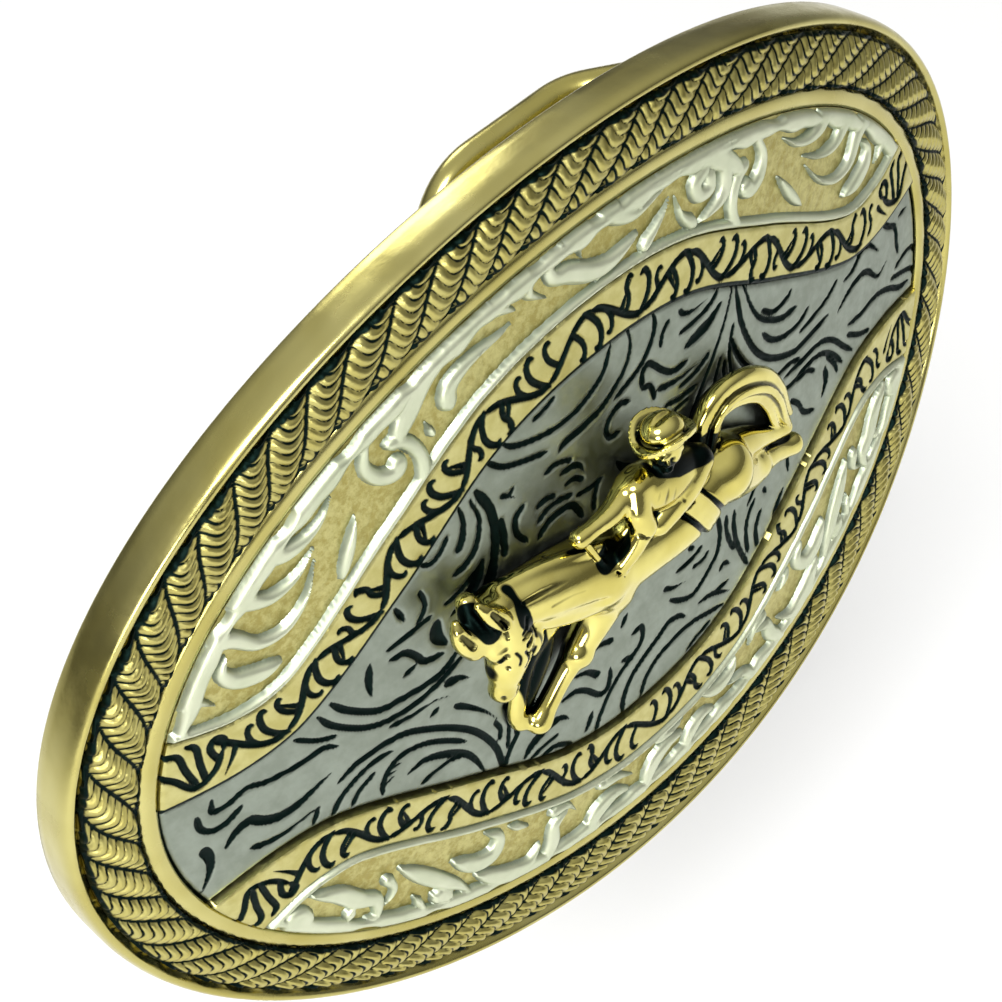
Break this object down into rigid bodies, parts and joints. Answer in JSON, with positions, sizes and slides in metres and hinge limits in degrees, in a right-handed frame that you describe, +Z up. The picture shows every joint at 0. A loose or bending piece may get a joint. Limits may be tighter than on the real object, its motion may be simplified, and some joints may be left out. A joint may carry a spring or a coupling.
{
  "type": "belt buckle",
  "caption": "Bowed oval western belt buckle with engraved overlays, rope border, horse and rider casting, and a swivel wire bail and hook stud behind.",
  "frame": {"origin": "middle of the base plate's back face, where the belt lies", "axes": "+X along the oval's long axis, +Z up as worn, +Y towards the wearer, so the decorated face looks along -Y"},
  "size_m": [0.0942, 0.0268, 0.0718],
  "materials": {
    "polished_gold": "polished gold plate with a soft mottling",
    "antiqued_gold": "gold plate with black-green antiquing in its recesses",
    "satin_gold": "satin pale gold with black-filled engraving",
    "engraved_nickel": "satin grey nickel with dark filled engraving",
    "pearl_silver": "pearly silver on raised scrolls",
    "bright_gold": "bright polished gold with black antiquing in its recesses"
  },
  "bodies": {
    "plate": {"back_plate": "polished_gold", "rim": "polished_gold", "rope_border": "antiqued_gold", "inner_band": "satin_gold", "center_panel": "engraved_nickel", "upper_ribbon": "satin_gold", "lower_ribbon": "satin_gold", "upper_crescent": "satin_gold", "lower_crescent": "satin_gold", "upper_scrollwork": "pearl_silver", "lower_scrollwork": "pearl_silver", "horse_and_rider": "bright_gold", "hinge_plate": "polished_gold", "hinge_barrel": "polished_gold", "hook_plate": "polished_gold", "hook_stud": "polished_gold"},
    "bail": {"bail": "polished_gold"}
  },
  "joints": [
    {"name": "bail_hinge", "type": "hinge", "parent": "plate", "child": "bail", "pos_m": [0.0307, 0.0059, 0], "axis": [0, 0, 1], "range_deg": [-120, 28]}
  ]
}
